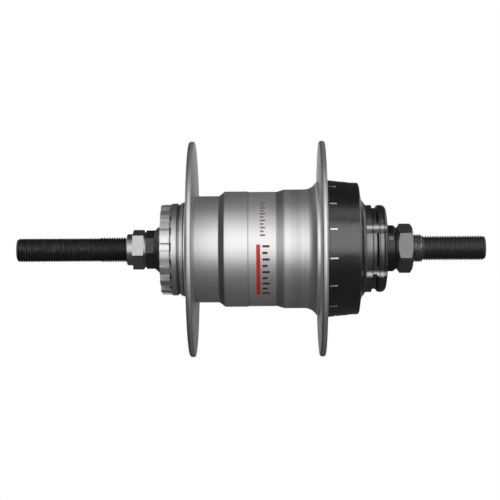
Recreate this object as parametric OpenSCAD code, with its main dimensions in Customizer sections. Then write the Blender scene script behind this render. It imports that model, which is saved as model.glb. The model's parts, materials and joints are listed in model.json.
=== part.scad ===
// Internally geared three-speed rear hub, in millimetres.
// Each piece is drawn about its own z axis, which points at the sprocket side,
// and along_axle() then lays that axis along -Y, with +Z up and +X forward.

/* [Axle] */
// Diameter over the threads at both ends
axle_d = 9.525; // [9.5:0.005:9.55]
// Overall length of the axle
axle_l = 182.9; // [182:0.1:184]
// Diameter of the thread under the left cone and lock nut
left_thread_d = 9.86; // [9.84:0.02:9.92]
// Diameter of the large thread under the right cone and lock nut
right_thread_d = 11; // [10.9:0.05:11.1]
// Diameter of the push rod
rod_d = 4.4; // [4.2:0.1:4.6]
// How far the push rod and clutch slide between low and high gear
shift_travel = 5; // [4.6:0.1:5]

/* [Shell] */
// Diameter of both spoke flanges
flange_d = 84; // [82:0.5:86]
// Thickness of the flanges at the rim
flange_t = 2.2; // [2:0.05:2.3]
// Centre of the left flange, from the middle of the axle
left_flange_z = -22.6; // [-22.8:0.1:-22.5]
// Centre of the right flange, from the middle of the axle
right_flange_z = 27.8; // [27.7:0.1:27.9]
// Spoke holes in each flange
spoke_holes = 18; // [14:1:20]
// Diameter of the right flange's spoke hole circle
right_spoke_pcd = 76; // [75.5:0.1:77]
// Diameter of the left flange's spoke hole circle
left_spoke_pcd = 74.8; // [74:0.1:75]
// Diameter of each spoke hole
spoke_hole_d = 2.6; // [2.4:0.1:2.8]
// Outer diameter of the narrow left tube of the shell
left_tube_d = 41.5; // [41.2:0.1:41.8]
// Outer diameter of the right barrel of the shell
right_barrel_d = 46.3; // [46:0.1:46.6]

/* [Brake splines] */
// Outer diameter over the castellated splines
spline_d = 35.2; // [35:0.1:35.4]
// Number of spline notches
spline_count = 18; // [16:1:20]
// Width of one notch, in degrees
notch_deg = 10.5; // [9:0.5:12]

/* [Driver] */
// Diameter of the sprocket seat
seat_d = 34.2; // [34:0.1:34.4]
// Diameter at the bottom of the snap-ring groove
groove_d = 31.7; // [31.5:0.1:32]
// Narrow notches across the seat
driver_notches = 6; // [3:1:6]

/* [Gear train] */
// Module of all teeth
gear_m = 0.75; // [0.75:0.01:0.76]
// Teeth on the sun gear
sun_teeth = 16; // [16:1:16]
// Teeth on each planet gear
planet_teeth = 14; // [14:1:14]
// Teeth inside the ring gear
ring_teeth = 44; // [44:1:44]
// Planet gears around the sun
planets = 4; // [4:1:4]
// Thinning of every tooth flank for backlash
backlash = 0.04; // [0.03:0.01:0.06]
// Saw teeth in each ratchet
ratchet_teeth = 22; // [22:1:22]

/* [Bearings] */
// Diameter of the large bearing balls
ball_d = 6.35; // [6.3:0.05:6.4]
// Diameter of the small bearing balls
small_ball_d = 4.762; // [4.7:0.001:4.8]
// Gap between a ball and its race
race_gap = 0.05; // [0.03:0.01:0.08]

/* [Hidden] */
$fn = 96;
end_z = axle_l / 2;
axle_r = axle_d / 2;
left_thread_r = left_thread_d / 2;
right_thread_r = right_thread_d / 2;
journal_r = 5.5;
rod_r = rod_d / 2;
fit = 0.05;

sun_pitch_r = gear_m * sun_teeth / 2;
planet_pitch_r = gear_m * planet_teeth / 2;
ring_pitch_r = gear_m * ring_teeth / 2;
planet_centre_r = sun_pitch_r + planet_pitch_r;
gear_z = [-7.4, 4.1];
pressure_deg = 20;

left_ball_at = [11, -30];
right_ball_at = [18.6, 36];
driver_ball_at = [11.2, 47.5];
left_balls_n = 9;
right_balls_n = 14;
driver_balls_n = 12;

key_z = [20.45, 23.25];
key_t = 3;
clutch_arms = 3;
dogs = 11;
planet_pin_r = 2;

ratchet_step = 360 / ratchet_teeth;
low_ratchet_r = [15.8, 17];
high_ratchet_r = [18.2, 19.4];
// Pawl: pivot radius, raised tip radius, arm in degrees, heel radius, pin radius, low z, high z,
// and how far its pivot is turned from the ratchet's first steep face
carrier_pawl = [13, 16.4, 24, 1.35, 0.8, -20.1, -15, 28];
ring_pawl = [15.9, 18.9, 28, 1.1, 0.6, 20.95, 26.05, 30.5];
ring_pawl_tuck = 9.5;

left_hole_turn = 19;
right_hole_turn = 9;
notch_turn = 17;
cap_slot_turn = 20;
driver_notch_turn = 32;

// ---- helpers ----

function polar(r, a) = [r * cos(a), r * sin(a)];

module along_axle() {
    rotate([90, 0, 0]) children();
}

module disc(z0, z1, r) {
    translate([0, 0, z0]) cylinder(r = r, h = z1 - z0);
}

module ring(z0, z1, r_out, r_in) {
    difference() {
        disc(z0, z1, r_out);
        disc(z0 - 1, z1 + 1, r_in);
    }
}

// A solid of revolution from [radius, z] points
module turned(points) {
    rotate_extrude() polygon(points);
}

module around(n, turn = 0) {
    for (i = [0 : n - 1])
        rotate(turn + i * 360 / n) children();
}

module slab(z0, z1) {
    translate([0, 0, z0]) linear_extrude(z1 - z0) children();
}

// A torus, used to cut ball races
module race(at, r) {
    rotate_extrude() translate(at) circle(r);
}

// A wedge between two radii and two angles, no wider than a quarter turn
module sector(r_in, r_out, a0, a1) {
    steps = 6;
    outer = [for (i = [0 : steps]) polar(r_out, a0 + (a1 - a0) * i / steps)];
    inner = [for (i = [steps : -1 : 0]) polar(r_in, a0 + (a1 - a0) * i / steps)];
    polygon(concat(outer, inner));
}

// A hexagon or octagon prism with chamfered ends
module nut_prism(z0, z1, across, sides, chamfer, low = true, high = true) {
    r = across / 2 / cos(180 / sides);
    edge_r = across / 2 + 0.1;
    drop = chamfer;
    intersection() {
        translate([0, 0, z0]) cylinder(r = r, h = z1 - z0, $fn = sides);
        turned([
            [0, z0],
            [low ? edge_r - 0.3 : r + 1, z0],
            [r + 0.01, low ? z0 + drop : z0],
            [r + 0.01, high ? z1 - drop : z1],
            [high ? edge_r - 0.3 : r + 1, z1],
            [0, z1]
        ]);
    }
}

// ---- gear teeth ----

// Quarter-circle corner of a turned profile, about its own centre
function corner(x, z, r, from) = [for (t = [from : 15 : from + 90]) [x + r * cos(t), z + r * sin(t)]];

function involute_deg(base_r, r) =
    r <= base_r ? 0 : sqrt(pow(r / base_r, 2) - 1) * 180 / PI - acos(base_r / r);

// Half the tooth angle at radius r, thinned by t at the pitch circle
function half_tooth(n, pitch_r, r, t) =
    90 / n - t / pitch_r * 180 / PI
    + involute_deg(pitch_r * cos(pressure_deg), pitch_r)
    - involute_deg(pitch_r * cos(pressure_deg), r);

function gear_points(n, pitch_r, root_r, tip_r, t) =
    let (base_r = pitch_r * cos(pressure_deg), steps = 3)
    let (start_r = max(base_r, root_r + 0.05))
    let (radii = concat([root_r], [for (j = [0 : steps]) start_r + (tip_r - start_r) * j / steps]))
    [
        for (i = [0 : n - 1])
            for (k = [0 : 2 * len(radii) - 1])
                let (up = k < len(radii))
                let (r = radii[up ? k : 2 * len(radii) - 1 - k])
                let (a = half_tooth(n, pitch_r, r, t))
                polar(r, i * 360 / n + (up ? -a : a))
    ];

// The hollow of a saw-toothed ratchet: steep faces at whole steps, ramps between
function ratchet_points(radii) = [
    for (i = [0 : ratchet_teeth - 1])
        for (deep = [0, 1])
            polar(radii[deep], i * ratchet_step + (deep == 1 ? 0.6 : 0))
];

// ---- axle and its fixed pieces ----

module sun_teeth_solid() {
    points = gear_points(sun_teeth, sun_pitch_r, sun_pitch_r - 1.25 * gear_m,
                         sun_pitch_r + 0.9 * gear_m, backlash);
    slab(gear_z[0] - 0.2, gear_z[1] + 0.2) polygon(points);
}

module axle() {
    chamfer = 1.3;
    root_r = sun_pitch_r - 1.25 * gear_m;
    color([0.16, 0.16, 0.17]) along_axle() difference() {
        union() {
            turned([
                [0, -end_z], [axle_r - chamfer, -end_z], [axle_r, -end_z + chamfer],
                [axle_r, -58.5], [left_thread_r, -58.3], [left_thread_r, -26.6],
                [journal_r, -26.6], [journal_r, gear_z[0] - 0.2], [root_r, gear_z[0] - 0.2],
                [root_r, gear_z[1] + 0.2], [7.2, gear_z[1] + 0.2], [7.2, 8.2],
                [right_thread_r, 8.2], [right_thread_r, 66.4], [axle_r, 66.9],
                [axle_r, end_z - chamfer], [axle_r - chamfer, end_z], [0, end_z]
            ]);
            sun_teeth_solid();
        }
        disc(14, end_z + 1, rod_r + fit);
        translate([-10, -key_t / 2 - fit, key_z[0] - shift_travel - 0.3])
            cube([20, key_t + 2 * fit, key_z[1] - key_z[0] + shift_travel + 0.6]);
    }
}

module left_lock_nut() {
    color([0.75, 0.75, 0.76]) along_axle() difference() {
        union() {
            rotate(196.5) nut_prism(-45.75, -41.1, 13.8, 6, 0.45, low = false);
            turned([
                [0, -48.1], [5.85, -48.1], [6.1, -47.85], [6.1, -45.7], [0, -45.7]
            ]);
        }
        disc(-49, -41, left_thread_r);
    }
}

module left_lock_washer() {
    color([0.7, 0.7, 0.72]) along_axle() ring(-41.1, -40.7, 6.8, left_thread_r);
}

module left_cone() {
    color([0.08, 0.08, 0.08]) along_axle() difference() {
        union() {
            rotate(189.5) nut_prism(-40.7, -37.3, 14.1, 8, 0.25, high = false);
            turned([
                [0, -37.4], [7.4, -37.35], [9.2, -35.4], [9.4, -35],
                [9.4, -31], [7.7, -31], [7.7, -27], [0, -27]
            ]);
        }
        disc(-41, -26, left_thread_r);
        race(left_ball_at, ball_d / 2 + race_gap);
    }
}

module right_lock_nut() {
    color([0.2, 0.2, 0.2]) along_axle() difference() {
        rotate(23) nut_prism(57, 62.9, 16.8, 6, 0.9);
        disc(56, 64, right_thread_r);
    }
}

module right_lock_washer() {
    color([0.25, 0.25, 0.25]) along_axle() ring(56.6, 57, 8, right_thread_r);
}

module right_cone() {
    color([0.1, 0.1, 0.1]) along_axle() difference() {
        turned([
            [right_thread_r, 43.5], [8.3, 43.5], [8.7, 43.9], [8.7, 48], [10.4, 48],
            [10.4, 50.8], [9, 50.8], [9, 55.4], [8.05, 56.6], [right_thread_r, 56.6]
        ]);
        race(driver_ball_at, small_ball_d / 2 + race_gap);
        for (side = [0, 180])
            rotate(side - 26) translate([8.94, -3, 53.4]) cube([3, 6, 4]);
    }
}

// The clutch's return spring, a round wire swept along a helix
module clutch_spring() {
    turns = 4;
    sides = 8;
    steps = 20;
    wire_r = 0.45;
    mean_r = 6.7;
    low = 8.25 + wire_r;
    high = 18.7 - wire_r;
    last = turns * steps;
    points = [
        for (i = [0 : last])
            for (k = [0 : sides - 1])
                let (a = 360 * i / steps)
                let (r = mean_r + wire_r * cos(360 * k / sides))
                [r * cos(a), r * sin(a), low + (high - low) * i / last + wire_r * sin(360 * k / sides)]
    ];
    walls = [
        for (i = [0 : last - 1])
            for (k = [0 : sides - 1])
                let (next = (k + 1) % sides)
                [i * sides + k, (i + 1) * sides + k, (i + 1) * sides + next, i * sides + next]
    ];
    ends = [
        [for (k = [0 : sides - 1]) k],
        [for (k = [sides - 1 : -1 : 0]) last * sides + k]
    ];
    color([0.6, 0.6, 0.62]) along_axle() polyhedron(points, concat(walls, ends));
}

// ---- shell ----

module spoke_hole_ring(z, pcd, turn) {
    sink = 0.4;
    around(spoke_holes, turn)
        translate([pcd / 2, 0, z]) {
            cylinder(d = spoke_hole_d, h = 10, center = true, $fn = 32);
            for (side = [-1, 1])
                scale([1, 1, side]) translate([0, 0, flange_t / 2 - sink])
                    cylinder(d1 = spoke_hole_d, d2 = spoke_hole_d + 3 * sink, h = 1.5 * sink, $fn = 32);
        }
}

module hub_shell() {
    tube_r = left_tube_d / 2;
    barrel_r = right_barrel_d / 2;
    flange_r = flange_d / 2;
    half_t = flange_t / 2;
    inner_round = 0.8;
    outer_round = 0.7;
    tube_z = left_flange_z + flange_t / 2;
    trumpet = [
        for (t = [0 : 9.5 : 57])
            [barrel_r + 5.4 * (1 - cos(t)), 20.8 + 5.4 * sin(t)]
    ];
    outer = concat(
        [[17.4, -26.3], [17.4, tube_z], [tube_r, tube_z], [tube_r, -12.15], [22.5, -9.9],
         [22.5, -1], [22.12, -1], [22.12, 9.9], [22.3, 9.9], [22.3, 10.3], [barrel_r, 13.05]],
        trumpet,
        [[25.8, 25.45], [26, 26.55], [26.4, right_flange_z - half_t]],
        corner(flange_r - inner_round, right_flange_z - half_t + inner_round, inner_round, -90),
        corner(flange_r - outer_round, right_flange_z + half_t - outer_round, outer_round, 0),
        [[25, right_flange_z + half_t], [25, 30.5]]
    );
    bore = [
        [21.2, 30.5], [21.2, 19.5], [19.9, 19.5], [19.9, -8.8],
        [18, -12], [18, -21.4], [15.4, -21.4], [15.4, -26.3]
    ];
    color([0.78, 0.78, 0.79]) along_axle() difference() {
        turned(concat(outer, bore));
        spoke_hole_ring(right_flange_z, right_spoke_pcd, right_hole_turn);
    }
}

module left_flange() {
    flange_r = flange_d / 2;
    low = left_flange_z - flange_t / 2;
    high = left_flange_z + flange_t / 2;
    outer_round = 0.9;
    inner_round = 0.6;
    color([0.82, 0.82, 0.83]) along_axle() difference() {
        turned(concat(
            [[17.4, -26.3], [18.4, -26.3], [18.4, -25.9], [18, -25.8], [18, -25.5],
             [18.9, -25.4], [18.9, -25], [18.5, -24.9], [18.5, -24.6], [19.4, -24.5],
             [20.5, low]],
            corner(flange_r - outer_round, low + outer_round, outer_round, -90),
            corner(flange_r - inner_round, high - inner_round, inner_round, 0),
            [[17.4, high]]
        ));
        spoke_hole_ring(left_flange_z, left_spoke_pcd, left_hole_turn);
    }
}

module brake_spline_ring() {
    outer_r = spline_d / 2;
    color([0.72, 0.72, 0.73]) along_axle() difference() {
        turned([
            [15.4, -34.65], [outer_r - 0.4, -34.65], [outer_r, -34.25], [outer_r, -30.9],
            [outer_r + 0.35, -30.3], [outer_r + 0.35, -28.15], [outer_r - 0.2, -28.05],
            [outer_r - 0.2, -27.05], [outer_r + 0.4, -27.05], [outer_r + 0.4, -26.3],
            [15.4, -26.3]
        ]);
        around(spline_count, notch_turn)
            slab(-36, -30.15) sector(15.9, 20, -notch_deg / 2, notch_deg / 2);
    }
}

module left_ball_cup() {
    color([0.5, 0.5, 0.52]) along_axle() difference() {
        turned([
            [10, -22.6], [15, -22.6], [15.4, -23], [15.4, -34.5],
            [14.3, -34.5], [14.3, -30], [10, -30]
        ]);
        race(left_ball_at, ball_d / 2 + race_gap);
    }
}

module left_seal() {
    color([0.1, 0.1, 0.1]) along_axle() ring(-34.5, -34.05, 14.3, 9.75);
}

module low_gear_ratchet() {
    color([0.45, 0.45, 0.47]) along_axle() difference() {
        disc(-20.8, -14.4, 18);
        slab(-21, -14) polygon(ratchet_points(low_ratchet_r));
    }
}

module right_ball_cup() {
    color([0.62, 0.62, 0.64]) along_axle() difference() {
        turned([
            [17.2, 26.6], [17.2, 36], [21.9, 36], [21.9, 37.8], [24.2, 37.8], [24.2, 35.5],
            [25, 35.5], [25, 30.5], [21.2, 30.5], [21.2, 19.5], [16, 19.5], [16, 26.6]
        ]);
        slab(19, 26.6) polygon(ratchet_points(high_ratchet_r));
        race(right_ball_at, ball_d / 2 + race_gap);
    }
}

module right_dust_cap() {
    slots = 15;
    slot_w = 0.65;
    color([0.07, 0.07, 0.07]) along_axle() difference() {
        turned([
            [25.05, 28.92], [26.65, 28.92], [26.65, 30.6], [26.2, 34.4], [26.05, 36.6],
            [25.75, 38.6], [25.65, 41.45], [25.2, 41.9], [22.5, 42.3], [19.9, 42.7],
            [18.7, 43.3], [18.1, 43.9], [17.75, 43.9], [17.75, 42.2], [19.4, 41.4],
            [24.3, 40.5], [24.3, 36], [25.05, 36]
        ]);
        around(slots, cap_slot_turn)
            translate([24.5, -slot_w / 2, 28]) cube([3, slot_w, 5.3]);
    }
}

module label_band() {
    color([0.8, 0.76, 0.75]) along_axle() ring(-0.9, 9.8, 22.3, 22.12);
}

// ---- driver ----

module driver() {
    seat_r = seat_d / 2;
    groove_r = groove_d / 2;
    lip = [for (t = [0 : 18 : 90]) [14.9 + (seat_r - 14.9) * cos(t), 50.3 + 2.2 * sin(t)]];
    color([0.22, 0.22, 0.23]) along_axle() difference() {
        turned(concat(
            [[11.2, 8.8], [13.5, 8.8], [13.5, 20.4], [14, 20.6], [14, 27.6], [15.3, 28],
             [15.3, 36], [seat_r - 0.2, 36], [seat_r - 0.2, 44.3], [seat_r, 44.3],
             [seat_r, 46.75], [groove_r, 46.95], [groove_r, 48.35],
             [seat_r - 0.1, 49.1]],
            lip,
            [[13.7, 52.5], [13.7, 47.5], [9.6, 47.5], [9.6, 30.6], [11.2, 30]]
        ));
        race(right_ball_at, ball_d / 2 + race_gap);
        race(driver_ball_at, small_ball_d / 2 + race_gap);
        around(clutch_arms) slab(8, 20.3) sector(10.5, 14, -5.6, 5.6);
        around(driver_notches, driver_notch_turn)
            translate([seat_r + 0.7, 0, 44.2]) cylinder(r = 2.7, h = 10.3);
    }
}

module driver_seal() {
    color([0.45, 0.45, 0.46]) along_axle() ring(43.5, 44.3, seat_d / 2 + 0.4, seat_d / 2 - 0.2);
}

module driver_dust_cap() {
    color([0.12, 0.12, 0.12]) along_axle() ring(51.5, 52.7, 13.7, 9.25);
}

// ---- clutch and push rod ----

module clutch() {
    dog_deg = 180 / dogs;
    color([0.4, 0.4, 0.42]) along_axle() {
        difference() {
            disc(14.6, 20.4, 10.9);
            disc(14, 18.8, 8.4);
            disc(18, 21, journal_r + 0.25);
        }
        around(dogs) slab(13, 14.8) sector(8.7, 10.6, -dog_deg / 2 + 1.2, dog_deg / 2 - 1.2);
        around(clutch_arms) slab(17, 20) sector(10.4, 14.7, -4.5, 4.5);
    }
}

module push_rod() {
    color([0.7, 0.7, 0.72]) along_axle() turned([
        [0, key_z[1]], [rod_r, key_z[1]], [rod_r, end_z - 1.7], [rod_r - 0.5, end_z - 1.2],
        [0, end_z - 1.2]
    ]);
}

module axle_key() {
    color([0.55, 0.55, 0.57]) along_axle()
        translate([-8.1, -key_t / 2, key_z[0]]) cube([16.2, key_t, key_z[1] - key_z[0]]);
}

// ---- pawls ----

// One raised pawl, its pivot on the x axis and its tip turned down by the arm angle
module pawl_shape(p) {
    slab(p[5], p[6])
        polygon([
            polar(p[0] + p[3] - 0.1, 1), polar(p[1], 0.8 - p[2]),
            polar(p[1] - 1.2, 0.8 - p[2]), polar(p[0] - p[3] + 0.1, -3)
        ]);
    translate([p[0], 0]) disc(p[5], p[6], p[3]);
}

// The pawl lies in its notch, tip against a steep ratchet face, tucked in by some degrees
module pawl(p, side, tuck = 0) {
    rotate(side * 180 + p[7]) difference() {
        translate([p[0], 0, 0]) rotate(-tuck) translate([-p[0], 0, 0]) pawl_shape(p);
        translate([p[0], 0, p[5] - 1]) cylinder(r = p[4] + fit, h = p[6] - p[5] + 2, $fn = 32);
    }
}

module pawl_pins(p, z0, z1) {
    for (side = [0, 1])
        rotate(side * 180 + p[7]) translate([p[0], 0, z0]) cylinder(r = p[4], h = z1 - z0, $fn = 32);
}

module pawl_pockets(p, floor_r, far_r) {
    for (side = [0, 1])
        rotate(side * 180 + p[7])
            slab(p[5] - 0.1, p[6] + 0.1) sector(floor_r, far_r, -p[2] - 5, 9);
}

// A round wire bent to most of a circle that sits in the pawls' spring groove
module pawl_spring(z, r) {
    wire_r = 0.35;
    translate([0, 0, z]) rotate(70) rotate_extrude(angle = 330) translate([r, 0]) circle(wire_r, $fn = 24);
}

// ---- ring gear ----

module ring_gear() {
    hollow = gear_points(ring_teeth, ring_pitch_r, ring_pitch_r - 0.65 * gear_m,
                         ring_pitch_r + 1.25 * gear_m, -backlash);
    notch = 6.5;
    color([0.5, 0.5, 0.52]) along_axle() difference() {
        union() {
            disc(gear_z[0] - 0.1, 10, 18.9);
            disc(9.9, 26.5, 17.4);
        }
        rotate(180 / ring_teeth) slab(-9, 8.3) polygon(hollow);
        disc(8.1, 15.4, 15.5);
        disc(15, 28, 14.05);
        around(15) slab(15.1, 20.6) sector(13.6, 15.1, -notch, notch);
        pawl_pockets(ring_pawl, 14.6, 19);
        pawl_pins(ring_pawl, 19, 28);
    }
}

module ring_pawl_pins() {
    color([0.6, 0.6, 0.62]) along_axle() pawl_pins(ring_pawl, 19, 26.5);
}

module ring_pawl_1() {
    color([0.6, 0.58, 0.5]) along_axle() pawl(ring_pawl, 0, ring_pawl_tuck);
}

module ring_pawl_2() {
    color([0.6, 0.58, 0.5]) along_axle() pawl(ring_pawl, 1, ring_pawl_tuck);
}

module ring_pawl_spring() {
    color([0.7, 0.7, 0.72]) along_axle() pawl_spring(18.2, 17.76);
}

// ---- planet carrier ----

module planet_carrier() {
    dog_deg = 180 / dogs;
    pillar_at = 13;
    color([0.48, 0.48, 0.5]) along_axle() difference() {
        union() {
            disc(-21.8, gear_z[0] - 0.3, 14.8);
            disc(gear_z[1] + 0.3, 7.8, 15.5);
            around(planets, 45) translate([pillar_at, 0, -9]) cylinder(r = 2.2, h = 14, $fn = 48);
            around(dogs, dog_deg)
                slab(7.7, 9.4) sector(8.7, 10.6, -dog_deg / 2 + 1.2, dog_deg / 2 - 1.2);
        }
        disc(-23, gear_z[0] + 1, journal_r + fit);
        disc(gear_z[1], 10, 7.2 + fit);
        around(planets) translate([planet_centre_r, 0, -13]) cylinder(r = planet_pin_r, h = 20.8);
        pawl_pockets(carrier_pawl, 11, 18);
        pawl_pins(carrier_pawl, -22, -13);
    }
}

module planet_pins() {
    color([0.65, 0.65, 0.67]) along_axle()
        around(planets) translate([planet_centre_r, 0, -13]) cylinder(r = planet_pin_r, h = 20.6);
}

module carrier_pawl_pins() {
    color([0.6, 0.6, 0.62]) along_axle() pawl_pins(carrier_pawl, -21.8, -13);
}

module carrier_pawl_1() {
    color([0.6, 0.58, 0.5]) along_axle() pawl(carrier_pawl, 0);
}

module carrier_pawl_2() {
    color([0.6, 0.58, 0.5]) along_axle() pawl(carrier_pawl, 1);
}

module carrier_pawl_spring() {
    color([0.7, 0.7, 0.72]) along_axle() pawl_spring(-11.5, 15.16);
}

module planet_gear(k) {
    points = gear_points(planet_teeth, planet_pitch_r, planet_pitch_r - 1.25 * gear_m,
                         planet_pitch_r + 0.9 * gear_m, backlash);
    color([0.62, 0.6, 0.55]) along_axle() rotate((k - 1) * 360 / planets)
        translate([planet_centre_r, 0, 0]) rotate(180 / planet_teeth) difference() {
            slab(gear_z[0], gear_z[1]) polygon(points);
            disc(gear_z[0] - 1, gear_z[1] + 1, planet_pin_r + fit);
        }
}

module planet_gear_1() { planet_gear(1); }
module planet_gear_2() { planet_gear(2); }
module planet_gear_3() { planet_gear(3); }
module planet_gear_4() { planet_gear(4); }

// ---- bearings ----

module ball_set(at, d, n) {
    around(n) translate([at[0], 0, at[1]]) sphere(d = d, $fn = 48);
}

module retainer(at, d, n, r_in, r_out, z0, z1) {
    difference() {
        ring(z0, z1, r_out, r_in);
        around(n) translate([at[0], 0, at[1]]) sphere(d = d + 0.1, $fn = 48);
    }
}

module left_balls() {
    color([0.85, 0.85, 0.86]) along_axle() ball_set(left_ball_at, ball_d, left_balls_n);
}

module left_ball_retainer() {
    color([0.6, 0.55, 0.4]) along_axle()
        retainer(left_ball_at, ball_d, left_balls_n, 10.2, 13.5, -33.9, -31.6);
}

module right_balls() {
    color([0.85, 0.85, 0.86]) along_axle() ball_set(right_ball_at, ball_d, right_balls_n);
}

module right_ball_retainer() {
    color([0.6, 0.55, 0.4]) along_axle()
        retainer(right_ball_at, ball_d, right_balls_n, 18, 21.4, 37.2, 39.6);
}

module driver_balls() {
    color([0.85, 0.85, 0.86]) along_axle() ball_set(driver_ball_at, small_ball_d, driver_balls_n);
}

module driver_ball_retainer() {
    color([0.6, 0.55, 0.4]) along_axle()
        retainer(driver_ball_at, small_ball_d, driver_balls_n, 10.9, 13.2, 48.4, 50.4);
}

axle();
left_lock_nut();
left_lock_washer();
left_cone();
right_lock_nut();
right_lock_washer();
right_cone();
clutch_spring();
hub_shell();
left_flange();
brake_spline_ring();
left_ball_cup();
left_seal();
low_gear_ratchet();
right_ball_cup();
right_dust_cap();
label_band();
driver();
driver_seal();
driver_dust_cap();
clutch();
push_rod();
axle_key();
ring_gear();
ring_pawl_pins();
ring_pawl_1();
ring_pawl_2();
ring_pawl_spring();
planet_carrier();
planet_pins();
carrier_pawl_pins();
carrier_pawl_1();
carrier_pawl_2();
carrier_pawl_spring();
planet_gear_1();
planet_gear_2();
planet_gear_3();
planet_gear_4();
left_balls();
left_ball_retainer();
right_balls();
right_ball_retainer();
driver_balls();
driver_ball_retainer();
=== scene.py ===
"""Internally geared rear hub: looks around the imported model.

Row frame: +Y runs along the axle to the brake side, +Z is up and the camera looks along +X.
"""

import json
import math

import bmesh
import bpy
from mathutils import Matrix, Vector


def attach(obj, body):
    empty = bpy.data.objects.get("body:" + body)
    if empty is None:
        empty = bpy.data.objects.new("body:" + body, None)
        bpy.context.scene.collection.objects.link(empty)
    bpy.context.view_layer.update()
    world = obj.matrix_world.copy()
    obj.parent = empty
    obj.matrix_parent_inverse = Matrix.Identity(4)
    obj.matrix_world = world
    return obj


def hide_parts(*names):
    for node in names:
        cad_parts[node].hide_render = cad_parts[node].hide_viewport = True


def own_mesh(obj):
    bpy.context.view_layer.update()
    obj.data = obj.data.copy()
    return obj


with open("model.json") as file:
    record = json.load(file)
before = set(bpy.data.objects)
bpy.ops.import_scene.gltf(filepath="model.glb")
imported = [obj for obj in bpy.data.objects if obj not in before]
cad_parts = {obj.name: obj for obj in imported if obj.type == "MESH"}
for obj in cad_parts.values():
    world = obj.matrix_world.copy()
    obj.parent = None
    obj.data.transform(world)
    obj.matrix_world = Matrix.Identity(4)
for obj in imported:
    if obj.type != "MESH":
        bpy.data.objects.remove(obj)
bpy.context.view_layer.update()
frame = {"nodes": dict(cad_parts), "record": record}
nodes = frame["nodes"]
scene = bpy.context.scene
MM = 0.001
PITCH = 25.4 / 26 * MM
FILM_RADIUS = 22.3
CAP_SLOTS = 15


# ---- camera ----

CAMERA_FROM = Vector((-0.62, -0.0062, -0.00036))
CAMERA_AIM = Vector((0, 0.00025, -0.00036))
CAMERA_ROLL = math.radians(0.335)


def make_camera():
    data = bpy.data.cameras.new("camera")
    data.sensor_width = 36
    data.lens = 114.3
    data.clip_start = 0.01
    data.clip_end = 30
    camera = bpy.data.objects.new("camera", data)
    scene.collection.objects.link(camera)
    top = Vector((0, 0, 1))
    side = (CAMERA_AIM - CAMERA_FROM).normalized().cross(top)
    right = side * math.cos(CAMERA_ROLL) - top * math.sin(CAMERA_ROLL)
    up = side * math.sin(CAMERA_ROLL) + top * math.cos(CAMERA_ROLL)
    turn = Matrix((right, up, right.cross(up))).transposed().to_4x4()
    camera.matrix_world = Matrix.Translation(CAMERA_FROM) @ turn
    scene.camera = camera


# ---- light ----

def softbox(name, place, size, radiance, only=None):
    """Area light aimed at the hub; only lists the pieces that it lights, if not all."""
    data = bpy.data.lights.new(name, "AREA")
    data.shape = "RECTANGLE"
    data.size, data.size_y = size
    data.energy = radiance * math.pi * size[0] * size[1]
    lamp = bpy.data.objects.new(name, data)
    scene.collection.objects.link(lamp)
    lamp.location = place
    lamp.rotation_euler = (-Vector(place)).to_track_quat("-Z", "Y").to_euler()
    lamp.visible_camera = False
    if only:
        lit = bpy.data.collections.new(name + "_lit")
        for piece in only:
            lit.objects.link(piece)
        lamp.light_linking.receiver_collection = lit


def make_world():
    world = bpy.data.worlds.new("studio")
    scene.world = world
    world.use_nodes = True
    tree = world.node_tree
    tree.nodes.clear()
    coord = tree.nodes.new("ShaderNodeTexCoord")
    split = tree.nodes.new("ShaderNodeSeparateXYZ")
    tree.links.new(coord.outputs["Generated"], split.inputs[0])
    height = tree.nodes.new("ShaderNodeValToRGB")
    ramp = height.color_ramp
    ramp.interpolation = "B_SPLINE"
    steps = ((0.0, 0.03), (0.35, 0.04), (0.5, 0.09), (0.65, 0.09), (1.0, 0.05))
    while len(ramp.elements) < len(steps):
        ramp.elements.new(0.5)
    for element, (at, level) in zip(ramp.elements, steps):
        element.position = at
        element.color = (level, level, level, 1)
    up = tree.nodes.new("ShaderNodeMapRange")
    up.inputs["From Min"].default_value = -1
    tree.links.new(split.outputs["Z"], up.inputs["Value"])
    tree.links.new(up.outputs[0], height.inputs[0])
    back = tree.nodes.new("ShaderNodeMapRange")
    back.interpolation_type = "SMOOTHSTEP"
    back.inputs["From Min"].default_value = 0.2
    back.inputs["From Max"].default_value = 0.95
    back.inputs["To Min"].default_value = 1
    back.inputs["To Max"].default_value = 0.6
    tree.links.new(split.outputs["X"], back.inputs["Value"])
    studio = tree.nodes.new("ShaderNodeBackground")
    tree.links.new(height.outputs[0], studio.inputs["Color"])
    tree.links.new(back.outputs[0], studio.inputs["Strength"])
    backdrop = tree.nodes.new("ShaderNodeBackground")
    backdrop.inputs["Color"].default_value = (1, 1, 1, 1)
    backdrop.inputs["Strength"].default_value = 1
    ray = tree.nodes.new("ShaderNodeLightPath")
    mix = tree.nodes.new("ShaderNodeMixShader")
    out = tree.nodes.new("ShaderNodeOutputWorld")
    tree.links.new(ray.outputs["Is Camera Ray"], mix.inputs[0])
    tree.links.new(studio.outputs[0], mix.inputs[1])
    tree.links.new(backdrop.outputs[0], mix.inputs[2])
    tree.links.new(mix.outputs[0], out.inputs["Surface"])


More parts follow.
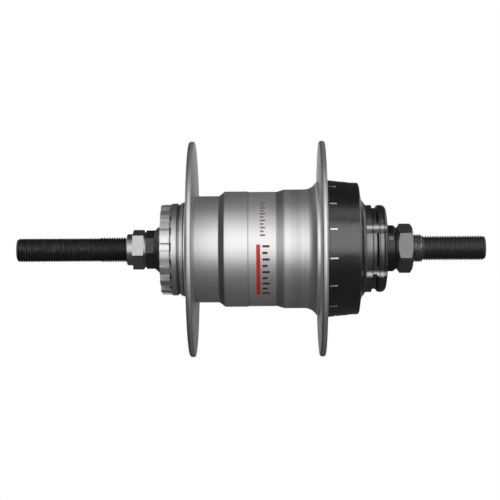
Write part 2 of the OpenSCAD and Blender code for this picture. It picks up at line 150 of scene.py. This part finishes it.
def make_floor():
    bpy.ops.mesh.primitive_plane_add(size=30, location=(0, 0, -0.25))
    floor = bpy.context.object
    floor.name = "studio_floor"
    mat = bpy.data.materials.new("pale_floor")
    mat.use_nodes = True
    tree = mat.node_tree
    tree.nodes.clear()
    ray = tree.nodes.new("ShaderNodeLightPath")
    paper = tree.nodes.new("ShaderNodeEmission")
    paper.inputs["Color"].default_value = (1, 1, 1, 1)
    grey = tree.nodes.new("ShaderNodeBsdfDiffuse")
    grey.inputs["Color"].default_value = (0.16, 0.16, 0.16, 1)
    mix = tree.nodes.new("ShaderNodeMixShader")
    out = tree.nodes.new("ShaderNodeOutputMaterial")
    tree.links.new(ray.outputs["Is Camera Ray"], mix.inputs[0])
    tree.links.new(grey.outputs[0], mix.inputs[1])
    tree.links.new(paper.outputs[0], mix.inputs[2])
    tree.links.new(mix.outputs[0], out.inputs["Surface"])
    floor.data.materials.append(mat)


# ---- materials ----

class Surface:
    """Node material around one Principled shader, with noise-driven colour, roughness and bump."""

    def __init__(self, name, colour, metallic, roughness, **sockets):
        self.mat = bpy.data.materials.new(name)
        self.mat.use_nodes = True
        self.tree = self.mat.node_tree
        self.bsdf = self.tree.nodes["Principled BSDF"]
        self.bsdf.inputs["Metallic"].default_value = metallic
        for key, value in sockets.items():
            self.bsdf.inputs[key.replace("_", " ")].default_value = value
        self.where = self.node("ShaderNodeTexCoord")
        self.coord = self.where.outputs["Object"]
        self.tint = self.node("ShaderNodeRGB").outputs[0]
        self.tint.default_value = (*colour, 1)
        self.rough = self.value(roughness)
        self.height = None
        self.length = None

    def node(self, kind, **settings):
        made = self.tree.nodes.new(kind)
        for key, value in settings.items():
            setattr(made, key, value)
        return made

    def link(self, a, b):
        self.tree.links.new(a, b)

    def value(self, number):
        out = self.node("ShaderNodeValue").outputs[0]
        out.default_value = number
        return out

    def math(self, operation, a, b=None, clamp=False):
        made = self.node("ShaderNodeMath", operation=operation, use_clamp=clamp)
        for socket, item in zip(made.inputs, (a, b)):
            if item is None:
                continue
            if isinstance(item, (int, float)):
                socket.default_value = item
            else:
                self.link(item, socket)
        return made.outputs[0]

    def remap(self, item, low, high, to_low, to_high, smooth=False):
        made = self.node("ShaderNodeMapRange")
        if smooth:
            made.interpolation_type = "SMOOTHSTEP"
        self.link(item, made.inputs["Value"])
        for key, number in zip(("From Min", "From Max", "To Min", "To Max"),
                               (low, high, to_low, to_high)):
            made.inputs[key].default_value = number
        return made.outputs[0]

    def noise(self, scale, detail=3, along=None):
        """Noise through the solid, or 1-D noise along a distance."""
        dims = "1D" if along else "3D"
        made = self.node("ShaderNodeTexNoise", noise_dimensions=dims)
        made.inputs["Scale"].default_value = scale
        made.inputs["Detail"].default_value = detail
        made.inputs["Roughness"].default_value = 0.55
        self.link(along or self.coord, made.inputs["W" if along else "Vector"])
        return made.outputs[0]

    def axial(self):
        """Distance along the lathe cut: axial position plus radius, so faces get rings."""
        if self.length is None:
            split = self.node("ShaderNodeSeparateXYZ")
            self.link(self.coord, split.inputs[0])
            flat = self.node("ShaderNodeCombineXYZ")
            self.link(split.outputs["X"], flat.inputs["X"])
            self.link(split.outputs["Z"], flat.inputs["Z"])
            reach = self.node("ShaderNodeVectorMath", operation="LENGTH")
            self.link(flat.outputs[0], reach.inputs[0])
            self.spoke = flat.outputs[0]
            self.y = split.outputs["Y"]
            self.radius = reach.outputs["Value"]
            self.length = self.math("ADD", self.y, self.radius)
        return self.length

    def walls(self):
        """1 on notch walls, which face neither outwards nor along the axle."""
        self.axial()
        normal = self.where.outputs["Normal"]
        facing = self.node("ShaderNodeVectorMath", operation="DOT_PRODUCT")
        self.link(normal, facing.inputs[0])
        self.link(self.spoke, facing.inputs[1])
        outward = self.math("ABSOLUTE", self.math("DIVIDE", facing.outputs["Value"], self.radius))
        split = self.node("ShaderNodeSeparateXYZ")
        self.link(normal, split.inputs[0])
        along = self.math("ABSOLUTE", split.outputs["Y"])
        return self.math("MULTIPLY", self.remap(outward, 0.975, 0.985, 1, 0),
                         self.remap(along, 0.1, 0.2, 1, 0))

    def shade(self, factor):
        made = self.node("ShaderNodeVectorMath", operation="SCALE")
        self.link(self.tint, made.inputs[0])
        self.link(factor, made.inputs["Scale"])
        self.tint = made.outputs[0]

    def blend(self, factor, colour):
        made = self.node("ShaderNodeMix", data_type="RGBA")
        self.link(factor, made.inputs[0])
        self.link(self.tint, made.inputs[6])
        made.inputs[7].default_value = (*colour, 1)
        self.tint = made.outputs[2]

    def relief(self, item, metres):
        part = self.math("MULTIPLY", item, metres)
        self.height = part if self.height is None else self.math("ADD", self.height, part)

    def mottle(self, scale, amount, rough_amount=0.03):
        """Cloudy changes of shade and roughness."""
        patch = self.noise(scale, 5)
        self.shade(self.remap(patch, 0.3, 0.7, 1 - amount, 1 + amount))
        self.rough = self.math("ADD", self.rough,
                               self.remap(patch, 0.3, 0.7, -rough_amount, rough_amount))
        return self

    def grain(self, scale, metres, amount=0.0):
        """Fine relief, and specks of shade if amount is set."""
        speck = self.noise(scale, 2)
        self.relief(speck, metres)
        if amount:
            self.shade(self.remap(speck, 0.3, 0.7, 1 - amount, 1 + amount))
        return self

    def turned(self, lines, amount, metres, rough_amount=0.05, coarse=0.25, weight=None):
        """Lathe lines: fine 1-D noise along the cut, plus a coarser set, scaled by weight."""
        t = self.axial()
        fine = self.noise(lines, 4, t)
        wide = self.noise(lines * coarse, 3, t)
        mixed = self.math("ADD", self.math("MULTIPLY", fine, 0.55),
                          self.math("MULTIPLY", wide, 0.45))
        swing = self.remap(mixed, 0.32, 0.68, -amount, amount)
        if weight is not None:
            swing = self.math("MULTIPLY", swing, weight)
        self.shade(self.math("ADD", swing, 1))
        self.rough = self.math("ADD", self.rough,
                               self.remap(fine, 0.3, 0.7, -rough_amount, rough_amount))
        self.relief(mixed, metres)
        return self

    def edges(self, radius, colour, strength=1.0):
        """Brighter edges in patches where the surface turns sharply; on the pale metals they are a
        painted glint.
        """
        soft = self.node("ShaderNodeBevel", samples=4)
        soft.inputs["Radius"].default_value = radius
        sharp = self.node("ShaderNodeNewGeometry")
        dot = self.node("ShaderNodeVectorMath", operation="DOT_PRODUCT")
        self.link(soft.outputs[0], dot.inputs[0])
        self.link(sharp.outputs["Normal"], dot.inputs[1])
        mask = self.remap(dot.outputs["Value"], 0.985, 0.90, 0, strength)
        patchy = self.remap(self.noise(900), 0.35, 0.6, 0.35, 1)
        self.blend(self.math("MULTIPLY", mask, patchy, clamp=True), colour)
        return self

    def painted_crevice_shade(self, distance, depth):
        """Painted shade: darkens corners and the ends of notches, where shadow falls, from ambient
        occlusion.
        """
        made = self.node("ShaderNodeAmbientOcclusion", samples=6)
        made.inputs["Distance"].default_value = distance
        self.shade(self.remap(made.outputs["AO"], 0.35, 0.9, 1 - depth, 1, smooth=True))
        return self

    def zones(self, marks, weight=None):
        """Painted shade and highlight in bands along the axle: (millimetres towards the sprocket
        side, factor).
        """
        self.axial()
        low, high = marks[0][0], marks[-1][0]
        made = self.node("ShaderNodeValToRGB")
        ramp = made.color_ramp
        while len(ramp.elements) < len(marks):
            ramp.elements.new(1.0)
        for element, (at, level) in zip(ramp.elements, marks):
            element.position = (at - low) / (high - low)
            element.color = (level, level, level, 1)
        self.link(self.remap(self.y, -low * MM, -high * MM, 0, 1), made.inputs[0])
        gain = self.math("MULTIPLY", made.outputs[0], 1.0)  # colour to plain number
        if weight is not None:
            gain = self.math("ADD", self.math("MULTIPLY", self.math("SUBTRACT", gain, 1.0),
                                              weight), 1)
        self.shade(gain)
        return self

    def finish(self, bevel=0.0, around=False):
        """Joins the shader; bevel rounds edges in the shading, around turns the brushing."""
        bsdf = self.bsdf
        self.link(self.tint, bsdf.inputs["Base Color"])
        self.link(self.math("MAXIMUM", self.rough, 0.05), bsdf.inputs["Roughness"])
        normal = None
        if bevel:
            soft = self.node("ShaderNodeBevel", samples=4)
            soft.inputs["Radius"].default_value = bevel
            normal = soft.outputs[0]
        if self.height is not None:
            dent = self.node("ShaderNodeBump")
            dent.inputs["Strength"].default_value = 1
            dent.inputs["Distance"].default_value = 1
            self.link(self.height, dent.inputs["Height"])
            if normal is not None:
                self.link(normal, dent.inputs["Normal"])
            normal = dent.outputs[0]
        if normal is not None:
            self.link(normal, bsdf.inputs["Normal"])
        if around:
            tangent = self.node("ShaderNodeTangent", direction_type="RADIAL", axis="Y")
            self.link(tangent.outputs[0], bsdf.inputs["Tangent"])
        return self.mat


# Painted shade and highlight along the axle: (millimetres towards the sprocket side, factor).
LEFT_FLANGE_ZONES = (
    (-27, 0.8), (-25.95, 0.9), (-25.85, 0.35), (-25.5, 0.35), (-25.4, 1), (-25.0, 1),
    (-24.9, 0.4), (-24.6, 0.5), (-24.4, 0.85), (-23.6, 0.9), (-23.3, 1), (-21.7, 1),
    (-21.55, 0.8), (-20, 0.8),
)
# Painted highlight and shade across the rounded rim of the left flange.
LEFT_RIM_PAINTED_LIGHT = (
    (-23.8, 0.5), (-23.3, 0.42), (-22.9, 0.62), (-22.4, 0.9), (-22.0, 1), (-21.6, 0.95),
    (-21.3, 0.9),
)
SHELL_ZONES = (
    (-24, 1), (-12.15, 1), (-11.9, 0.42), (-10.1, 0.45), (-9.8, 0.9), (-9.5, 1), (9.7, 1),
    (10.0, 0.52), (12.6, 0.58), (13.1, 1), (15.2, 1), (15.5, 0.9), (17.4, 0.88), (17.6, 0.78),
    (18.0, 0.8), (18.2, 0.88), (19.3, 0.87), (19.6, 0.98), (21.9, 0.95), (22.8, 0.8),
    (25.0, 0.6), (25.3, 1.1), (26.6, 1.1), (26.68, 0.85), (26.8, 0.85), (27.0, 1),
)
# Painted highlight and shade across the rounded rim of the right flange.
RIGHT_RIM_PAINTED_LIGHT = (
    (26.5, 0.6), (26.8, 0.42), (27.1, 0.5), (27.4, 0.75), (27.8, 1), (28.2, 1),
    (28.5, 0.75), (28.9, 0.65),
)
SPLINE_ZONES = (
    (-36, 1), (-31.0, 1), (-30.85, 0.8), (-30.4, 0.8), (-30.2, 0.95), (-28.5, 0.93),
    (-28.15, 0.42), (-27.55, 0.42), (-27.15, 0.7), (-26.9, 0.95), (-26.4, 0.95), (-26.1, 0.35),
)
DRIVER_ZONES = (
    (43, 1), (46.5, 1), (46.65, 0.5), (47.1, 0.5), (47.25, 1), (49.2, 1), (49.35, 0.4),
    (49.7, 0.5), (49.95, 1.05), (50.9, 1), (51.2, 0.55), (53, 0.6),
)


def shell_alloy(name, zones, rim_light_bands):
    """Satin alloy, turned on the sprocket side and on the flanges, plain on the barrel."""
    s = Surface(name, (0.70, 0.70, 0.71), 1, 0.47, Anisotropic=0.3)
    s.axial()
    right = s.remap(s.y, -0.0125, -0.0145, 0.3, 1.0, smooth=True)
    flange = s.remap(s.radius, 0.0240, 0.0262, 0, 0.6, smooth=True)
    right = s.math("MAXIMUM", right, flange)
    s.mottle(70, 0.03, 0.02)
    s.turned(5200, 0.15, 2.0e-6, 0.05, weight=right)
    s.grain(9000, 0.6e-6, 0.02)
    # Painted shade and highlight bands, a painted highlight across the flange rims, painted shade
    # in corners and a painted glint on edges and spoke holes.
    s.zones(zones)
    s.zones(rim_light_bands, s.remap(s.radius, 0.0409, 0.0412, 0, 1))
    s.painted_crevice_shade(0.0008, 0.45)
    s.edges(0.0002, (0.92, 0.92, 0.93), 0.5)
    return s.finish(bevel=0.00012, around=True)


def spline_steel():
    """Turned steel ring, with a painted shadow at the foot of its notches."""
    s = Surface("spline_steel", (0.64, 0.64, 0.645), 1, 0.40, Anisotropic=0.3)
    s.mottle(160, 0.05, 0.03)
    s.turned(5200, 0.10, 2e-6)
    s.grain(8000, 0.6e-6, 0.03)
    # Painted shade bands, a near-black painted shadow where the notch floors meet the ring's wall,
    # painted shade in corners and a painted glint on edges.
    s.zones(SPLINE_ZONES)
    floor = s.remap(s.radius, 0.0165, 0.0168, 1, 0)
    notch_shadow_end = s.remap(s.y, 0.03100, 0.03088, 0, 1)
    s.blend(s.math("MULTIPLY", floor, notch_shadow_end), (0.06, 0.06, 0.06))
    s.painted_crevice_shade(0.0011, 0.7)
    s.edges(0.0002, (0.9, 0.9, 0.905), 0.7)
    return s.finish(bevel=0.0001, around=True)


def driver_steel():
    """Dark hardened driver; its round notches carry a painted highlight."""
    s = Surface("driver_steel", (0.205, 0.205, 0.207), 1, 0.34, Anisotropic=0.35)
    s.axial()
    # Painted highlight on the notch walls, then painted shade and highlight bands and painted
    # shade in corners.
    notch_highlight_zone = s.remap(s.y, -0.0439, -0.0442, 0, 1)
    s.blend(s.math("MULTIPLY", s.walls(), notch_highlight_zone), (0.36, 0.36, 0.365))
    s.zones(DRIVER_ZONES)
    s.mottle(160, 0.08, 0.03)
    s.turned(5200, 0.10, 2e-6)
    s.grain(8000, 0.6e-6, 0.03)
    s.painted_crevice_shade(0.0009, 0.7)
    s.edges(0.00015, (0.24, 0.24, 0.245))
    return s.finish(bevel=0.0001, around=True)


def turned_steel(name, colour, roughness):
    s = Surface(name, colour, 1, roughness, Anisotropic=0.35)
    s.mottle(160, 0.04)
    s.turned(5200, 0.08, 2e-6)
    s.grain(8000, 0.6e-6, 0.03)
    return s.finish(bevel=0.0001, around=True)


def milled_steel(name, colour, roughness, mottle=0.06, edge=None, metallic=1.0,
                 grain=1.2e-6):
    s = Surface(name, colour, metallic, roughness)
    s.mottle(260, mottle, 0.04)
    s.grain(5200, grain, 0.05)
    if edge:
        s.edges(0.00018, edge)
    return s.finish(bevel=0.00012)


def cone_steel(edge):
    """Black cone with the oxide rubbed off its two spanner flats."""
    s = Surface("cone_steel", (0.055, 0.055, 0.056), 0.8, 0.40)
    s.axial()
    rubbed = s.math("MULTIPLY", s.remap(s.radius, 0.008985, 0.00897, 0, 1),
                    s.remap(s.y, -0.0533, -0.0535, 0, 1))
    outside = s.math("MULTIPLY", s.remap(s.radius, 0.0088, 0.00885, 0, 1),
                     s.remap(s.y, -0.0553, -0.0551, 0, 1))
    s.blend(s.math("MULTIPLY", rubbed, outside), (0.24, 0.24, 0.242))
    s.mottle(260, 0.15, 0.04)
    s.grain(5200, 1.2e-6, 0.05)
    s.edges(0.00018, edge)
    return s.finish(bevel=0.00012)


def moulded_plastic(name, colour, roughness, **sockets):
    s = Surface(name, colour, 0, roughness, **sockets)
    s.mottle(120, 0.10, 0.05)
    s.turned(1200, 0.08, 0.7e-6, 0.04, coarse=0.3)
    s.grain(4200, 3e-6, 0.06)
    return s.finish(bevel=0.00012)


def label_film():
    """Pale film with a darker seam along one edge."""
    s = Surface("label_film", (0.745, 0.715, 0.71), 0.9, 0.50)
    s.axial()
    seam = s.remap(s.y, 0.00040, 0.00062, 0, 1, smooth=True)
    s.mottle(90, 0.03, 0.02)
    s.grain(7000, 0.5e-6, 0.03)
    s.blend(s.math("MULTIPLY", seam, 0.35), (0.25, 0.24, 0.24))
    return s.finish()


def threaded_steel():
    """Black axle; its crests are worn towards the far end."""
    s = Surface("black_thread", (0.046, 0.046, 0.047), 0.75, 0.42)
    s.axial()
    s.mottle(240, 0.25, 0.06)
    crest = s.remap(s.radius, 0.00450, 0.00464, 0, 1, smooth=True)
    far = s.remap(s.y, 0.055, 0.064, 0, 1, smooth=True)
    patchy = s.remap(s.noise(620, 4), 0.45, 0.7, 0, 0.35)
    s.blend(s.math("MULTIPLY", s.math("MULTIPLY", crest, far), patchy), (0.30, 0.30, 0.30))
    s.grain(5200, 1.2e-6, 0.12)
    return s.finish(bevel=0.00006)


def oxide_thread():
    """Grey thread on the sprocket side, scuffed beside the nut."""
    s = Surface("oxide_thread", (0.085, 0.085, 0.087), 0.8, 0.45)
    s.axial()
    s.mottle(240, 0.18, 0.06)
    patchy = s.remap(s.noise(900, 4), 0.45, 0.7, 0, 0.35)
    crest = s.remap(s.radius, 0.00458, 0.00472, 0, 1, smooth=True)
    s.blend(s.math("MULTIPLY", crest, patchy), (0.22, 0.22, 0.225))
    scuff = s.remap(s.noise(2400, 4), 0.44, 0.60, 0, 0.75)
    near_nut = s.remap(s.y, -0.0680, -0.0664, 0, 1)
    s.blend(s.math("MULTIPLY", scuff, near_nut), (0.46, 0.46, 0.46))
    s.grain(5200, 1.2e-6, 0.12)
    return s.finish(bevel=0.00006)


def make_materials():
    dark_edge = (0.20, 0.20, 0.205)
    return {
        "shell_alloy": shell_alloy("satin_shell", SHELL_ZONES, RIGHT_RIM_PAINTED_LIGHT),
        "left_flange": shell_alloy("satin_flange", LEFT_FLANGE_ZONES, LEFT_RIM_PAINTED_LIGHT),
        "spline_steel": spline_steel(),
        "axle_steel": threaded_steel(),
        "bright_steel": turned_steel("bright_steel", (0.36, 0.36, 0.365), 0.30),
        "right_cone": cone_steel(dark_edge),
        "black_steel": milled_steel("black_steel", (0.052, 0.052, 0.053), 0.40,
                                    mottle=0.15, edge=dark_edge, metallic=0.7),
        "dark_nut": milled_steel("dark_nut", (0.215, 0.215, 0.217), 0.48, mottle=0.14,
                                 edge=(0.26, 0.26, 0.26), metallic=0.9, grain=2.5e-6),
        "spring_steel": milled_steel("spring_steel", (0.50, 0.49, 0.47), 0.28),
        "race_steel": turned_steel("race_steel", (0.50, 0.50, 0.505), 0.24),
        "seal_rubber": moulded_plastic("seal_rubber", (0.018, 0.018, 0.018), 0.62),
        "black_plastic": moulded_plastic("black_plastic", (0.007, 0.007, 0.0073), 0.28,
                                         Specular_IOR_Level=0.95, Coat_Weight=0.45,
                                         Coat_Roughness=0.24),
        "label_film": label_film(),
        "driver_steel": driver_steel(),
        "grey_seal": moulded_plastic("grey_seal", (0.16, 0.16, 0.16), 0.45),
        "gear_steel": milled_steel("gear_steel", (0.38, 0.375, 0.365), 0.30),
        "pawl_steel": milled_steel("pawl_steel", (0.46, 0.44, 0.40), 0.28),
        "planet_steel": milled_steel("planet_steel", (0.45, 0.44, 0.42), 0.26),
        "ball_steel": milled_steel("ball_steel", (0.68, 0.68, 0.69), 0.12, mottle=0.02,
                                   grain=0.1e-6),
        "retainer_steel": milled_steel("retainer_steel", (0.42, 0.41, 0.39), 0.34),
    }


def dress_nodes(materials):
    wanted = {row["node"]: row["material_slot"] for row in frame["record"]["subparts"]}
    for name, obj in nodes.items():
        mat = materials[name if name in materials else wanted[name]]
        obj.data.materials.clear()
        obj.data.materials.append(mat)


# ---- mesh pieces ----

def close_mesh(bm, name):
    """Turns the working mesh into a mesh with its faces pointing outwards."""
    bmesh.ops.recalc_face_normals(bm, faces=bm.faces[:])
    mesh = bpy.data.meshes.new(name)
    bm.to_mesh(mesh)
    bm.free()
    return mesh


def add_piece(name, mesh, mat, body):
    obj = bpy.data.objects.new(name, mesh)
    scene.collection.objects.link(obj)
    mesh.materials.clear()
    mesh.materials.append(mat)
    for face in mesh.polygons:
        face.use_smooth = True
        face.material_index = 0
    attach(obj, body)
    return obj


def split_sharp(obj):
    """Keeps edges over 40 degrees sharp under smooth shading."""
    mod = obj.modifiers.new("sharp", "EDGE_SPLIT")
    mod.split_angle = math.radians(40)
    mod.use_edge_sharp = False


def thread_mesh(name, start, end, crest_r, depth, end_r=None, chamfer=0, bore_r=None,
                bore_depth=0, flat=None):
    """Helical 60-degree thread between y=start and y=end, capped at both ends.

    end is the free end: it tapers to end_r over chamfer, and takes a bore or a centre dimple.
    flat limits |z| by a pair of flats.
    """
    rows_per_turn = 56
    low, high = min(start, end), max(start, end)
    profile = ((0.0, crest_r - depth), (0.10, crest_r - depth), (0.40, crest_r),
               (0.60, crest_r), (0.90, crest_r - depth))
    turns = math.ceil((high - low) / PITCH) + 2
    bm = bmesh.new()
    first = low - PITCH
    rows = turns * rows_per_turn
    width = len(profile)
    grid = []
    for i in range(rows + 1):
        angle = 2 * math.pi * i / rows_per_turn
        base = first + PITCH * i / rows_per_turn
        row = []
        for step, radius in profile:
            y = base + step * PITCH
            row.append(bm.verts.new((radius * math.cos(angle), y, radius * math.sin(angle))))
        grid.append(row)
    for i in range(rows):
        a, b = grid[i], grid[i + 1]
        for j in range(width - 1):
            bm.faces.new((a[j], a[j + 1], b[j + 1], b[j]))
        after = i + rows_per_turn
        if after + 1 <= rows:
            bm.faces.new((a[-1], grid[after][0], grid[after + 1][0], b[-1]))
    for at, side in ((low, -1), (high, 1)):
        bmesh.ops.bisect_plane(bm, geom=bm.verts[:] + bm.edges[:] + bm.faces[:],
                               plane_co=(0, at, 0), plane_no=(0, side, 0), clear_outer=True)
    inward = 1 if end == low else -1
    for vert in bm.verts:
        reach = math.hypot(vert.co.x, vert.co.z)
        allowed = crest_r
        if end_r is not None:
            gap = abs(vert.co.y - end)
            if gap < chamfer:
                bend = 1 - gap / chamfer
                allowed = crest_r - (crest_r - end_r) * (1 - math.sqrt(1 - bend * bend))
        if reach > allowed:
            vert.co.x *= allowed / reach
            vert.co.z *= allowed / reach
        if flat:
            vert.co.z = max(-flat, min(flat, vert.co.z))
    for at in (low, high):
        rim = sorted((v for v in bm.verts if v.is_boundary and abs(v.co.y - at) < 1e-7),
                     key=lambda v: math.atan2(v.co.z, v.co.x))
        rings = [(bore_r, 0)] if (at == end and bore_r) else [(1.4 * MM, 0)]
        if at == end:
            rings.append((bore_r, bore_depth) if bore_r else (0.25 * MM, 1.1 * MM))
        for radius, sink in rings:
            outer, rim = rim, []
            for vert in outer:
                scale = radius / math.hypot(vert.co.x, vert.co.z)
                rim.append(bm.verts.new((vert.co.x * scale, at + inward * sink,
                                         vert.co.z * scale)))
            for k in range(len(rim)):
                bm.faces.new((outer[k - 1], outer[k], rim[k], rim[k - 1]))
        bm.faces.new(rim)
    bmesh.ops.remove_doubles(bm, verts=bm.verts[:], dist=1e-7)
    return close_mesh(bm, name)


def middle_of_axle(name, low, high):
    """The axle between the nuts, cut from the model's own shape."""
    bm = bmesh.new()
    bm.from_mesh(nodes["axle"].data)
    bmesh.ops.remove_doubles(bm, verts=bm.verts[:], dist=1e-6)
    for at, side in ((low, -1), (high, 1)):
        cut = bmesh.ops.bisect_plane(bm, geom=bm.verts[:] + bm.edges[:] + bm.faces[:],
                                     plane_co=(0, at, 0), plane_no=(0, side, 0),
                                     clear_outer=True)["geom_cut"]
        edges = [g for g in cut if isinstance(g, bmesh.types.BMEdge)]
        bmesh.ops.triangle_fill(bm, use_beauty=True, edges=edges)
    return close_mesh(bm, name)


def build_axle(materials):
    black = materials["axle_steel"]
    grey = oxide_thread()
    left = thread_mesh("axle_thread_left", 58.0 * MM, 91.2 * MM, 4.7 * MM, 0.45 * MM,
                       end_r=3.5 * MM, chamfer=1.7 * MM, flat=4.55 * MM)
    left_inner = thread_mesh("axle_thread_left_inner", 46.5 * MM, 58.3 * MM, 4.84 * MM,
                             0.55 * MM)
    right = thread_mesh("axle_thread_right", -66.4 * MM, -91.4 * MM, 4.7625 * MM, 0.56 * MM,
                        end_r=3.6 * MM, chamfer=1.5 * MM, bore_r=2.25 * MM,
                        bore_depth=6 * MM)
    right_inner = thread_mesh("axle_thread_right_inner", -60.5 * MM, -66.7 * MM, 5.45 * MM,
                              0.55 * MM, end_r=4.8 * MM, chamfer=0.5 * MM)
    middle = middle_of_axle("axle_middle", -61.0 * MM, 47.0 * MM)
    for mesh, mat in ((left, black), (left_inner, black), (right, grey), (right_inner, grey),
                      (middle, black)):
        piece = add_piece(mesh.name, mesh, mat, "axle")
        split_sharp(piece)
        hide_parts("axle")


def curved_patch(bm, low_z, high_z, from_deg, to_deg, radius, lift, clip=0.0):
    """Thin curved slab on the shell. Degrees run down the camera side from the axle's level.

    clip shortens both ends of the first and last row, which takes the corners off.
    """
    steps = max(2, int(abs(to_deg - from_deg)) + 1)
    rings = []
    for r in (radius, radius + lift):
        row = []
        for i in range(steps + 1):
            angle = math.radians(180 + from_deg + (to_deg - from_deg) * i / steps)
            x, z = r * math.cos(angle), r * math.sin(angle)
            inset = clip if i in (0, steps) else 0
            row.append((bm.verts.new((x, -(low_z + inset), z)),
                        bm.verts.new((x, -(high_z - inset), z))))
        rings.append(row)
    inner, outer = rings
    for i in range(steps):
        bm.faces.new((outer[i][0], outer[i + 1][0], outer[i + 1][1], outer[i][1]))
        bm.faces.new((inner[i][1], inner[i + 1][1], inner[i + 1][0], inner[i][0]))
        bm.faces.new((inner[i][0], inner[i + 1][0], outer[i + 1][0], outer[i][0]))
        bm.faces.new((outer[i][1], outer[i + 1][1], inner[i + 1][1], inner[i][1]))
    for i in (0, steps):
        bm.faces.new((inner[i][0], outer[i][0], outer[i][1], inner[i][1]))


def ink(name, colour):
    s = Surface(name, colour, 0, 0.4)
    s.mottle(400, 0.10, 0.05)
    s.grain(7000, 0.6e-6, 0.06)
    return s.finish()


def down_film(mm):
    """Angle at which the film's surface is mm below the axle's level."""
    return math.degrees(math.asin(mm / FILM_RADIUS))


def tick_row(count, first, last, left, rights, half_angle, clip):
    """Evenly spaced ticks between two heights; their right ends alternate."""
    top, span = down_film(first), down_film(last) - down_film(first)
    row = []
    for i in range(count):
        at = top + span * i / (count - 1)
        row.append((left, rights[i % 2], at - half_angle, at + half_angle, clip * MM))
    return row


def build_label(materials):
    """Generic printed marks: a red bar and two rows of plain ticks, repeated on the far side."""
    lift = 0.02 * MM
    red = ink("red_ink", (0.62, 0.035, 0.030))
    dark = ink("dark_ink", (0.035, 0.035, 0.037))
    grey = ink("grey_ink", (0.16, 0.15, 0.15))
    rows = {
        "label_bar": (red, [(2.3, 3.8, down_film(-1.7), down_film(17.4), 0.0)]),
        "label_ticks": (dark, tick_row(9, -1.0, 16.8, 4.55, (7.45, 6.65), 1.15, 0.25)),
        "label_small_ticks": (grey, tick_row(11, -17.6, -5.2, 3.7, (5.8, 5.2), 0.85, 0.18)),
    }
    for name, (mat, marks) in rows.items():
        bm = bmesh.new()
        for turn in (0, 180):
            for low, high, a, b, clip in marks:
                curved_patch(bm, low * MM, high * MM, turn + a, turn + b, FILM_RADIUS * MM,
                             lift, clip)
        piece = add_piece(name, close_mesh(bm, name), mat, "shell")
        split_sharp(piece)


def smooth_step(t):
    t = min(max(t, 0.0), 1.0)
    return t * t * (3 - 2 * t)


def build_clutch_spring(materials):
    """The clutch's coil spring, built at one fixed length; the real spring shortens as the clutch
    slides.
    """
    turns, steps, sides = 4, 32, 12
    wire, mean, low, high = 0.45 * MM, 6.7 * MM, -8.25 * MM, -18.7 * MM
    closed_pitch = 1.0 * MM
    stretch = abs(high - low) - 2 * wire - closed_pitch * turns
    bm = bmesh.new()
    rings = []
    for i in range(turns * steps + 1):
        turn = i / steps
        centre = closed_pitch * turn + stretch * smooth_step((turn - 0.8) / 2.4)
        angle = math.tau * turn
        ring = []
        for k in range(sides):
            bend = math.tau * k / sides
            reach = mean + wire * math.cos(bend)
            ring.append(bm.verts.new((reach * math.cos(angle),
                                      low - wire - centre - wire * math.sin(bend),
                                      reach * math.sin(angle))))
        rings.append(ring)
    for a, b in zip(rings, rings[1:]):
        for k in range(sides):
            bm.faces.new((a[k], a[(k + 1) % sides], b[(k + 1) % sides], b[k]))
    bm.faces.new(rings[0])
    bm.faces.new(rings[-1])
    mesh = close_mesh(bm, "clutch_coil_spring")
    piece = add_piece(mesh.name, mesh, materials["spring_steel"], "axle")
    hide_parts("clutch_spring")
    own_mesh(piece)


def build_cap_ribs(materials):
    """Bright ribs of the bearing cup that show through the dust cap's slots."""
    bm = bmesh.new()
    first_turn, half_angle = 20 - 180, 0.66
    for k in range(CAP_SLOTS):
        turn = first_turn + 360 / CAP_SLOTS * k
        curved_patch(bm, 30.1 * MM, 32.9 * MM, turn - half_angle, turn + half_angle,
                     25.05 * MM, 1.45 * MM)
    mesh = close_mesh(bm, "cap_slot_ribs")
    mat = milled_steel("rib_steel", (0.92, 0.92, 0.92), 0.42, mottle=0.04, metallic=0.8)
    piece = add_piece(mesh.name, mesh, mat, "shell")
    split_sharp(piece)
    return piece


scene.view_settings.view_transform = "Standard"
scene.view_settings.look = "None"
make_camera()
make_world()
make_floor()
softbox("key_light", (-0.85, 0.0, 0.272), (1.7, 0.88), 1.68)
softbox("brake_side_light", (0.3, 0.92, 0.20), (1.0, 0.7), 1.2)
softbox("sprocket_side_light", (0.3, -0.92, 0.20), (1.0, 0.7), 1.2)
softbox("rear_light", (0.95, 0.0, 0.10), (1.4, 0.4), 0.3)
softbox("top_light", (-0.42, 0.0, 0.80), (1.2, 0.34), 0.7)
materials = make_materials()
dress_nodes(materials)
build_axle(materials)
build_label(materials)
build_clutch_spring(materials)

# The fill from below is for the pale metal and the film only; black pieces stay black.
PALE_SLOTS = ("shell_alloy", "spline_steel", "bright_steel", "race_steel", "label_film")
pale = [nodes[row["node"]] for row in frame["record"]["subparts"]
        if row["material_slot"] in PALE_SLOTS]
pale.append(build_cap_ribs(materials))
softbox("low_fill", (-0.75, 0.0, -0.44), (1.6, 0.62), 2.5, only=pale)
